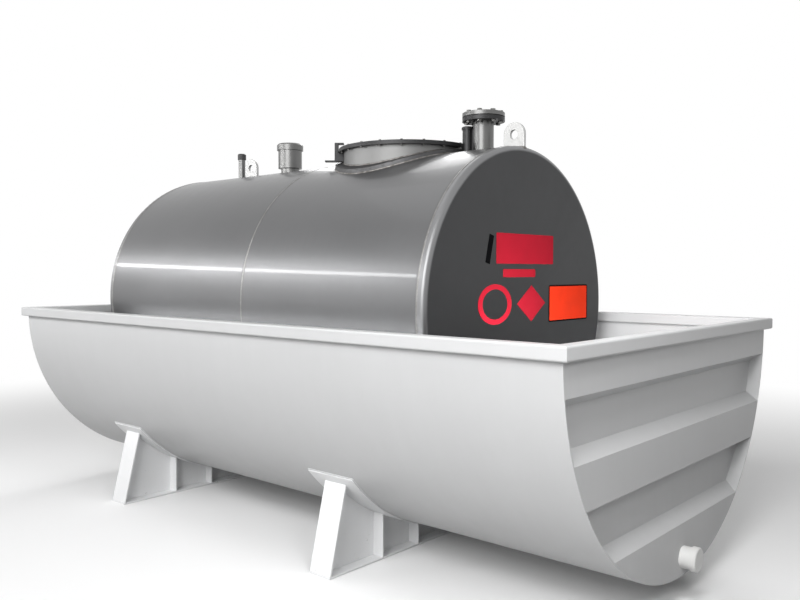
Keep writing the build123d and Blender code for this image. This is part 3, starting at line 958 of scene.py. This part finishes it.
class TANK_OT_lug_welds(bpy.types.Operator):
    """Lays the fillet welds round the lifting lugs"""

    bl_idname = "tank.lug_welds"
    bl_label = "Lug welds"

    def execute(self, context):
        s = Settings(context.scene)
        for lug, end in (
            ("lifting_lug_front", "tank_end_front"), ("lifting_lug_back", "tank_end_back"),
        ):
            low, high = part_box(lug)
            line = footprint(
                (low.x - BESIDE, low.y - BESIDE, ABOVE_LUGS),
                (high.x + BESIDE, high.y + BESIDE, ABOVE_LUGS), 40,
            )
            drop_on(line, "tank_shell", "Z", False, end)
            weld = bead(line, s.welds.fillet, s.welds.unevenness)
            settle(weld, lug + "_weld", "weld", 60)
        return {"FINISHED"}


class TANK_OT_pad_welds(bpy.types.Operator):
    """Lays the painted welds round the cradle pads under the trough"""

    bl_idname = "tank.pad_welds"
    bl_label = "Pad welds"

    def execute(self, context):
        s = Settings(context.scene)
        for cradle in ("front_cradle", "back_cradle"):
            low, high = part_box(cradle + "_pad")
            inset = 0.004
            line = footprint(
                (low.x - BESIDE, low.y + inset, 0), (high.x + BESIDE, high.y - inset, 0), 160,
            )
            drop_on(line, "trough_shell", "Z", True)
            weld = bead(line, s.welds.trough_fillet, s.welds.unevenness)
            settle(weld, cradle + "_pad_weld", "weld_paint", 60)
        return {"FINISHED"}


class TANK_OT_cover_bolts(bpy.types.Operator):
    """Bolts the manhole cover down"""

    bl_idname = "tank.cover_bolts"
    bl_label = "Cover bolts"

    def execute(self, context):
        s = Settings(context.scene).bolts
        middle = middle_of("manhole_cover")
        edge_of_cover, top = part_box("manhole_cover")[1].x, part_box("manhole_cover")[1].z
        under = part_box("manhole_flange")[0].z
        washer, shank = s.across * WASHER_SHARE, s.across * SHANK_SHARE
        corner = s.across / 2 / cos(pi / 6)
        seat, nut_seat = top + s.washer, under - s.washer
        nut_end = nut_seat - s.head
        # Sides, radius, lower and upper face, and width of the bevel
        layers = (
            (32, washer, top, seat, 0.0004),
            (6, corner, seat, seat + s.head, 0.0012),
            (32, washer, nut_seat, under, 0.0004),
            (6, corner, nut_end, nut_seat, 0.0010),
            (24, shank, nut_end - SHANK_END, nut_end, 0.0008),
        )
        made = []
        for sides, radius, low, high, edge in layers:
            part = primitive(
                "cylinder", vertices=sides, radius=radius, depth=high - low,
                location=(edge_of_cover - s.inset, middle.y, (low + high) / 2),
            )
            pick(part, lambda centre, normal: abs(normal.z) > 0.9)
            bpy.ops.mesh.bevel(offset=edge, segments=2, affect="EDGES")
            bpy.ops.object.mode_set(mode="OBJECT")
            made.append(part)
        bolt = join(made)
        pick(bolt, lambda centre, normal: True)
        bpy.ops.mesh.spin(
            steps=s.count - 1, dupli=True, angle=2 * pi * (s.count - 1) / s.count,
            center=(middle.x, middle.y, 0), axis=(0, 0, 1),
        )
        bpy.ops.object.mode_set(mode="OBJECT")
        settle(bolt, "cover_bolts", "bolts", 30)
        return {"FINISHED"}


class TANK_OT_panels(bpy.types.Operator):
    """Puts the bare coloured panels on the front end"""

    bl_idname = "tank.panels"
    bl_label = "Panels"

    def sheet(self, name, look, y_reach, z_reach, corner, lean, s):
        """A flat rectangle, with rounded corners or leaning to one side."""
        low = Vector((END_FACE - SUNK, y_reach[0], z_reach[0]))
        high = Vector((END_FACE + s.thickness, y_reach[1], z_reach[1]))
        plate = block(low, high)
        if corner:
            pick(plate, lambda a, b: abs(a.x - b.x) > abs(a.y - b.y) + abs(a.z - b.z), "EDGE")
            bpy.ops.mesh.bevel(offset=corner, segments=5, affect="EDGES")
        if lean:
            pick(plate, lambda centre, normal: True)
            bpy.ops.transform.rotate(
                value=lean, orient_axis="X", center_override=(low + high) / 2,
            )
        bpy.ops.object.mode_set(mode="OBJECT")
        return settle(plate, name, look, 30)

    def execute(self, context):
        s = Settings(context.scene).panels
        made = {row[0]: self.sheet(*row, s) for row in SHEETS}
        self.border(made["orange_plate"])
        self.ring(s)
        self.diamond(s)
        return {"FINISHED"}

    def border(self, plate):
        """A dark border round the face of a plate."""
        plate.data.materials.append(finish("black_film"))
        pick(plate, lambda centre, normal: normal.x > 0.9)
        bpy.ops.mesh.inset(thickness=PLATE_BORDER, depth=0.0)
        bpy.ops.object.mode_set(mode="OBJECT")
        inner = max(plate.data.polygons, key=lambda face: face.area * face.select)
        for face in plate.data.polygons:
            face.material_index = 0 if face == inner else 1

    def disc(self, place, radius, sides, s):
        """A thin disc on the face of the tank's end."""
        return primitive(
            "cylinder", vertices=sides, radius=radius, depth=s.thickness,
            location=(END_FACE + s.thickness / 2, *place), rotation=(0, pi / 2, 0),
        )

    def widen(self, place):
        """Makes what is selected wider about its middle, and leaves edit mode."""
        bpy.ops.transform.resize(value=(1, WIDENED, 1), center_override=(END_FACE, *place))
        bpy.ops.object.mode_set(mode="OBJECT")

    def ring(self, s):
        """A plain red ring, wider than it is high."""
        ring = self.disc(RING_PLACE, RING_RADIUS, 96, s)
        pick(ring, lambda centre, normal: abs(normal.x) > 0.9)
        bpy.ops.mesh.inset(thickness=RING_BAND, depth=0.0, use_individual=True)
        bpy.ops.mesh.bridge_edge_loops()
        bpy.ops.mesh.select_all(action="SELECT")
        self.widen(RING_PLACE)
        settle(ring, "red_ring", "red_film", 30)

    def diamond(self, s):
        """A plain red square on its corner, pressed a little flat."""
        diamond = self.disc(DIAMOND_PLACE, DIAMOND_RADIUS, 4, s)
        pick(diamond, lambda centre, normal: True)
        self.widen(DIAMOND_PLACE)
        settle(diamond, "red_diamond", "red_film", 30)


class TANK_OT_stage(bpy.types.Operator):
    """Sets the floor, the lamps, the white surroundings and the camera"""

    bl_idname = "tank.stage"
    bl_label = "Stage"

    def execute(self, context):
        s = Settings(context.scene).stage
        self.floor(s)
        self.world(context.scene)
        for lamp in LAMPS:
            self.lamp(*lamp)
        self.camera(context.scene, s)
        context.scene.view_settings.view_transform = "Standard"
        return {"FINISHED"}

    def seen(self, r):
        """1 for a ray from the camera, a reflection or a see-through surface."""
        kinds = [
            r.node("LightPath", output=name)
            for name in ("Is Camera Ray", "Is Glossy Ray", "Is Transmission Ray")
        ]
        total = kinds[0] + kinds[1] + kinds[2]
        return r.node("Math", {"operation": "MINIMUM"}, {0: total, 1: 1.0})

    def floor(self, s):
        """A wide pale floor that keeps the shadow and fades to white far out."""
        floor = primitive("plane", size=FLOOR_SIZE, location=(0, 0, 0))
        floor.name = "floor"
        material = bpy.data.materials.new("floor")
        r = Recipe(material)
        seen = self.seen(r)
        colour = r.mix(seen, FLOOR_GREY, tuple(s.floor))
        r.surface(Base_Color=colour, Roughness=0.9, Specular_IOR_Level=0.1)
        shader = next(n for n in r.tree.nodes if n.type == "BSDF_PRINCIPLED")
        close = next(n for n in r.tree.nodes if n.type == "OUTPUT_MATERIAL")
        reach = r.node("VectorMath", {"operation": "LENGTH"}, {0: r.place()}, 1)
        far = r.rise(reach, FADE_FROM, FADE_TO) * seen
        white = r.node("Emission", None, {"Strength": 1.0})
        mixed = r.node("MixShader", None, {0: far, 1: Strand(r, shader.outputs[0]), 2: white})
        r.feed(close.inputs[0], mixed)
        floor.data.materials.append(material)

    def world(self, scene):
        """Plain white where it is seen or mirrored, and no light besides."""
        scene.world = bpy.data.worlds.new("studio")
        r = Recipe(scene.world)
        back = next(n for n in r.tree.nodes if n.type == "BACKGROUND")
        r.feed(back.inputs["Color"], (1.0, 1.0, 1.0))
        r.feed(back.inputs["Strength"], self.seen(r))
        scene.world.cycles.sampling_method = "NONE"

    def lamp(self, name, place, aim, sides, power, mirrored):
        """One rectangular lamp pointed at a spot, kept out of the picture itself."""
        free_hands()
        turn = (Vector(aim) - Vector(place)).to_track_quat("-Z", "Y").to_euler()
        bpy.ops.object.light_add(type="AREA", location=place, rotation=turn)
        light = bpy.context.object
        light.name = name
        light.visible_camera = False
        light.visible_glossy = mirrored
        light.data.shape = "RECTANGLE"
        light.data.size, light.data.size_y = sides
        light.data.energy = power

    def camera(self, scene, s):
        """The camera at the photograph's place, turn and focal length."""
        free_hands()
        turn = (
            Matrix.Rotation(s.heading, 4, "Z")
            @ Matrix.Rotation(pi / 2 - s.tilt, 4, "X")
            @ Matrix.Rotation(s.roll, 4, "Z")
        ).to_euler()
        bpy.ops.object.camera_add(location=s.eye, rotation=turn)
        camera = bpy.context.object
        camera.data.sensor_width = 36.0
        camera.data.lens = s.lens
        scene.camera = camera


OPERATORS = (
    TANK_OT_finishes,
    TANK_OT_edges,
    TANK_OT_shell_seams,
    TANK_OT_fitting_welds,
    TANK_OT_lug_welds,
    TANK_OT_pad_welds,
    TANK_OT_cover_bolts,
    TANK_OT_panels,
    TANK_OT_stage,
)
GROUPS = (
    ("tank_welds", WeldSettings),
    ("tank_bolts", BoltSettings),
    ("tank_panels", PanelSettings),
    ("tank_finishes", FinishSettings),
    ("tank_stage", StageSettings),
)


class TANK_PT_sidebar(bpy.types.Panel):
    """Lists the steps that dress the tank"""

    bl_idname = "TANK_PT_sidebar"
    bl_label = "Tank"
    bl_space_type = "VIEW_3D"
    bl_region_type = "UI"
    bl_category = "Tank"

    def draw(self, context):
        for operator in OPERATORS:
            self.layout.operator(operator.bl_idname)


def register():
    """Registers the settings, the operators and the panel."""
    for name, group in GROUPS:
        bpy.utils.register_class(group)
        setattr(bpy.types.Scene, name, PointerProperty(type=group))
    for operator in OPERATORS:
        bpy.utils.register_class(operator)
    bpy.utils.register_class(TANK_PT_sidebar)


def unregister():
    """Takes it all away again."""
    bpy.utils.unregister_class(TANK_PT_sidebar)
    for operator in reversed(OPERATORS):
        bpy.utils.unregister_class(operator)
    for name, group in reversed(GROUPS):
        delattr(bpy.types.Scene, name)
        bpy.utils.unregister_class(group)


def main():
    """Dresses the tank."""
    register()
    for operator in OPERATORS:
        group, name = operator.bl_idname.split(".")
        getattr(getattr(bpy.ops, group), name)()


if __name__ == "__main__":
    main()
